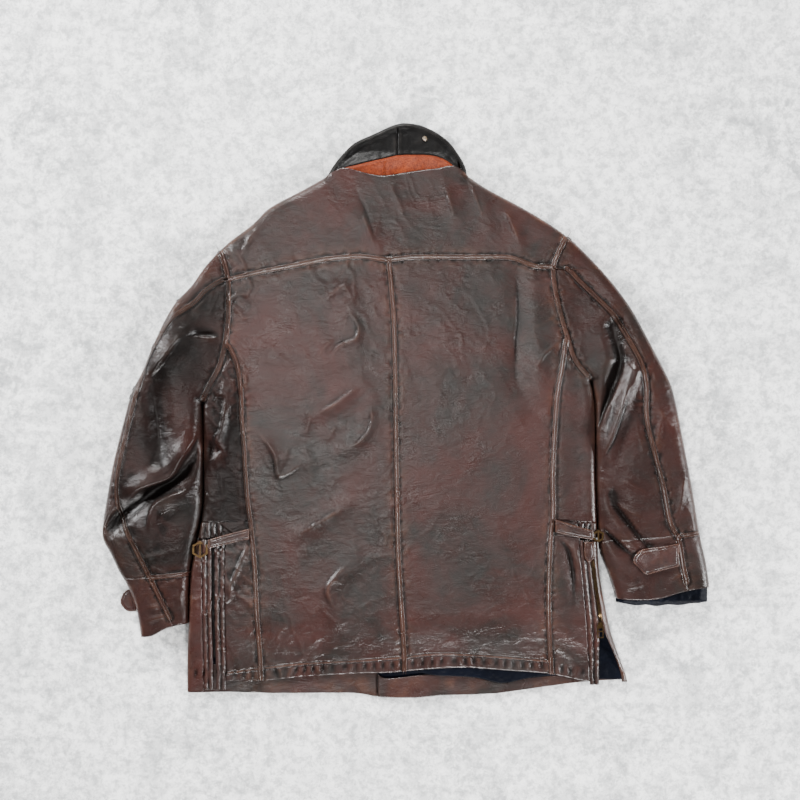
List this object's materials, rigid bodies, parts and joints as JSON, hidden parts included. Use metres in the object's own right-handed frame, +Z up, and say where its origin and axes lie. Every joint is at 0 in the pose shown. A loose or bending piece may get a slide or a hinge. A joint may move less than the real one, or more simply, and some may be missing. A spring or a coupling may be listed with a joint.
{
  "type": "leather coat",
  "caption": "Worn dark brown leather coat laid flat and face down, back up, collar raised, with side vents, adjuster straps, cuff tabs and a navy lining.",
  "frame": {"origin": "middle of the coat's outline, on the floor it lies on", "axes": "+Z up from the floor, +Y from hem to collar, +X to the wearer's right"},
  "size_m": [0.9929, 0.9451, 0.043],
  "materials": {
    "leather_brown": "worn and creased, glossy on its ridges",
    "leather_black": "smooth, satin",
    "leather_tan": "matt, worn through",
    "lining_navy": "quilted satin",
    "brass_aged": "tarnished"
  },
  "bodies": {
    "coat": {"yoke": "leather_brown", "back_left": "leather_brown", "back_right": "leather_brown", "side_back_left": "leather_brown", "side_back_right": "leather_brown", "side_skirt_left": "leather_brown", "side_skirt_right": "leather_brown", "front_left": "leather_brown", "front_right": "leather_brown", "hem_facing_left": "leather_brown", "hem_facing_right": "leather_brown", "body_lining": "lining_navy", "waist_casing_left": "leather_brown", "waist_casing_right": "leather_brown", "vent_strip_left_front": "leather_brown", "vent_strip_left_back": "leather_brown", "zip_left_chain": "leather_black", "vent_strip_right": "leather_brown", "zip_right_chain": "brass_aged", "sleeve_left_outer": "leather_brown", "sleeve_left_inner": "leather_brown", "cuff_left_outer": "leather_brown", "cuff_left_inner": "leather_brown", "sleeve_left_lining": "lining_navy", "sleeve_right_outer": "leather_brown", "sleeve_right_inner": "leather_brown", "cuff_right_outer": "leather_brown", "cuff_right_inner": "leather_brown", "sleeve_right_lining": "lining_navy", "strap_left": "leather_brown", "strap_right": "leather_brown", "strap_right_end": "leather_brown", "cuff_tab_right": "leather_brown", "cuff_tab_left": "leather_brown", "buckle_left": "brass_aged", "buckle_right": "brass_aged", "collar_stand": "leather_tan", "collar_leaf_left": "leather_black", "collar_leaf_right": "leather_black", "collar_rim": "leather_black", "collar_upper": "leather_brown", "collar_snap": "brass_aged", "zip_right_slider": "brass_aged"},
    "zip_pull": {"zip_right_pull": "brass_aged"}
  },
  "joints": [
    {"name": "zip_pull_swing", "type": "hinge", "parent": "coat", "child": "zip_pull", "pos_m": [0.3166, -0.35, 0.02532], "axis": [-1, 0, 0], "range_deg": [0, 150]}
  ]
}
